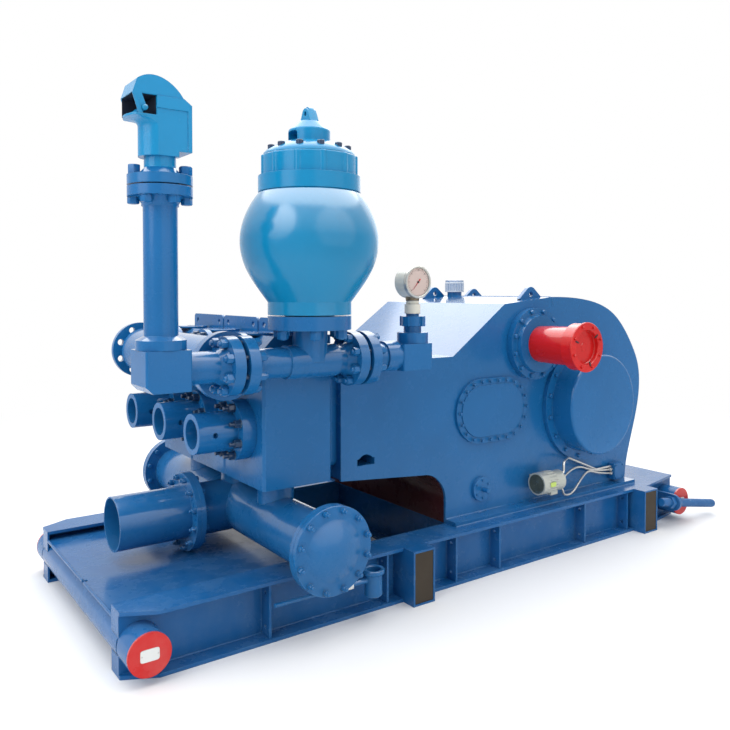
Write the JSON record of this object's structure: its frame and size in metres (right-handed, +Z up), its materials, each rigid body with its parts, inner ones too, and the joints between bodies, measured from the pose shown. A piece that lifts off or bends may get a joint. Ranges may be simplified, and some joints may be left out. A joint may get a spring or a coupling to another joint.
{
  "type": "triplex mud pump",
  "caption": "Skid-mounted triplex piston mud pump with gear-end housing, fluid-end modules, suction and discharge manifolds, ball dampener, relief valve and gauge",
  "frame": {"origin": "middle of the skid's underside, on the flat underside of the middle cross beam, at floor level", "axes": "+X runs from the fluid end to the power end, +Z up, the gauge and dampener side is -Y"},
  "size_m": [5.0048, 2.477, 2.9236],
  "materials": {
    "pump_blue": "gloss enamel, deep blue",
    "skid_blue": "gloss enamel, blue",
    "dampener_blue": "gloss enamel, bright cyan blue",
    "guard_red": "gloss enamel, red",
    "lug_brown": "flat dark brown primer",
    "gauge_cream": "cream enamel",
    "motor_grey": "grey green enamel over cast iron",
    "tube_steel": "bare steel tube"
  },
  "bodies": {
    "root": {"bearing_housings": "pump_blue", "breather": "pump_blue", "cylinder_heads": "pump_blue", "dampener_body": "dampener_blue", "dampener_cap": "dampener_blue", "dampener_cover": "dampener_blue", "dampener_cross": "pump_blue", "discharge_block": "pump_blue", "discharge_manifold": "pump_blue", "drain_valve": "skid_blue", "end_cross_pipes": "skid_blue", "fluid_modules": "pump_blue", "frame_lifting_ears": "pump_blue", "front_deck": "skid_blue", "gauge_spool": "pump_blue", "gauge_union": "pump_blue", "inspection_covers": "pump_blue", "jack_bracket": "skid_blue", "jack_screw": "skid_blue", "junction_box": "pump_blue", "line_spool": "pump_blue", "lube_motor": "motor_grey", "lube_tubes": "tube_steel", "lug_face_plates": "lug_brown", "module_adapter": "pump_blue", "module_top_plates": "pump_blue", "pinion_housings": "pump_blue", "pipe_end_discs": "guard_red", "power_frame": "pump_blue", "pressure_gauge": "gauge_cream", "rail_lugs": "skid_blue", "rear_deck": "skid_blue", "relief_valve_body": "dampener_blue", "relief_valve_hood": "dampener_blue", "riser_pipe": "pump_blue", "shaft_guards": "guard_red", "side_caps": "pump_blue", "skid_cross_beams": "skid_blue", "skid_rails": "skid_blue", "suction_covers": "pump_blue", "suction_inlet_pipe": "pump_blue", "suction_manifold": "pump_blue", "suction_risers": "pump_blue", "valve_covers": "pump_blue", "web_stiffeners": "skid_blue"}
  },
  "joints": []
}
